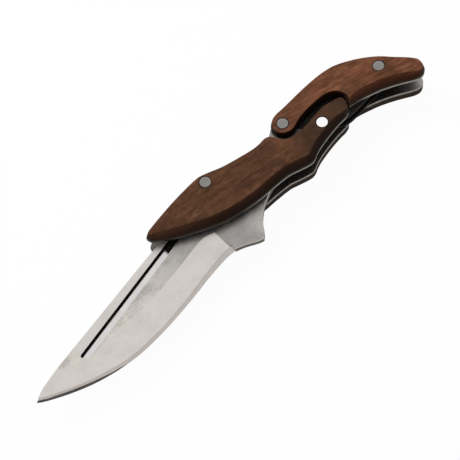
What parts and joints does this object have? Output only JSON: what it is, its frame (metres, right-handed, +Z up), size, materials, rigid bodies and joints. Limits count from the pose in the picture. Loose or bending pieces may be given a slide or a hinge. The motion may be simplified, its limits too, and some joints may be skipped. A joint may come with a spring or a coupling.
{
  "type": "folding pocket knife",
  "caption": "Folding knife with a wide pointed blade, finger guard and curved two-part wooden handle whose rear half hinges as a grip lever.",
  "frame": {"origin": "on the blade pivot's axis, where it meets the flat outer face of the far scale, on which the knife lies", "axes": "+X from the blade's tip to the butt, +Y from the belly to the back, +Z up, from the far scale to the near scale"},
  "size_m": [0.2034, 0.0395, 0.0168],
  "materials": {
    "blade_steel": "satin ground steel, brighter on the bevels",
    "liner_steel": "sheared steel plate, lightly worn edges",
    "rivet_steel": "flush rivets sanded level with the wood",
    "dark_steel": "blackened spring steel",
    "bronze": "plain bearing bronze",
    "front_wood": "oiled dark brown hardwood",
    "rear_wood": "oiled reddish brown hardwood"
  },
  "bodies": {
    "front_handle": {"pivot_barrel": "rivet_steel", "stop_pin": "rivet_steel", "washer_near": "bronze", "washer_far": "bronze", "front_scale_near": "front_wood", "front_scale_far": "front_wood", "front_liner_near": "liner_steel", "front_liner_far": "liner_steel", "front_rivet_near": "rivet_steel", "front_rivet_far": "rivet_steel", "finger_rivet_near": "rivet_steel", "finger_rivet_far": "rivet_steel", "lever_spring_near": "dark_steel", "lever_spring_far": "dark_steel", "spring_rivet_near": "rivet_steel", "spring_rivet_far": "rivet_steel"},
    "rear_handle": {"back_spacer": "liner_steel", "spacer_pin_1": "rivet_steel", "spacer_pin_2": "rivet_steel", "rear_scale_near": "rear_wood", "rear_scale_far": "rear_wood", "rear_liner_near": "liner_steel", "rear_liner_far": "liner_steel", "hinge_rivet_near": "rivet_steel", "hinge_rivet_far": "rivet_steel", "butt_rivet_near": "rivet_steel", "butt_rivet_far": "rivet_steel", "lever_plate_near": "dark_steel", "lever_plate_far": "dark_steel"},
    "blade": {"blade": "blade_steel", "lock_stud": "rivet_steel"}
  },
  "joints": [
    {"name": "blade_fold", "type": "hinge", "parent": "front_handle", "child": "blade", "pos_m": [0, 0, 0.0084], "axis": [0, 0, 1], "range_deg": [0, 170]},
    {"name": "grip_squeeze", "type": "hinge", "parent": "front_handle", "child": "rear_handle", "pos_m": [0.0431, 0.0118, 0.0084], "axis": [0, 0, -1], "range_deg": [0, 3.5], "stiffness_Nm_per_rad": 2, "springref_deg": -2.86, "deforming": ["lever_spring_near", "lever_spring_far"]}
  ]
}
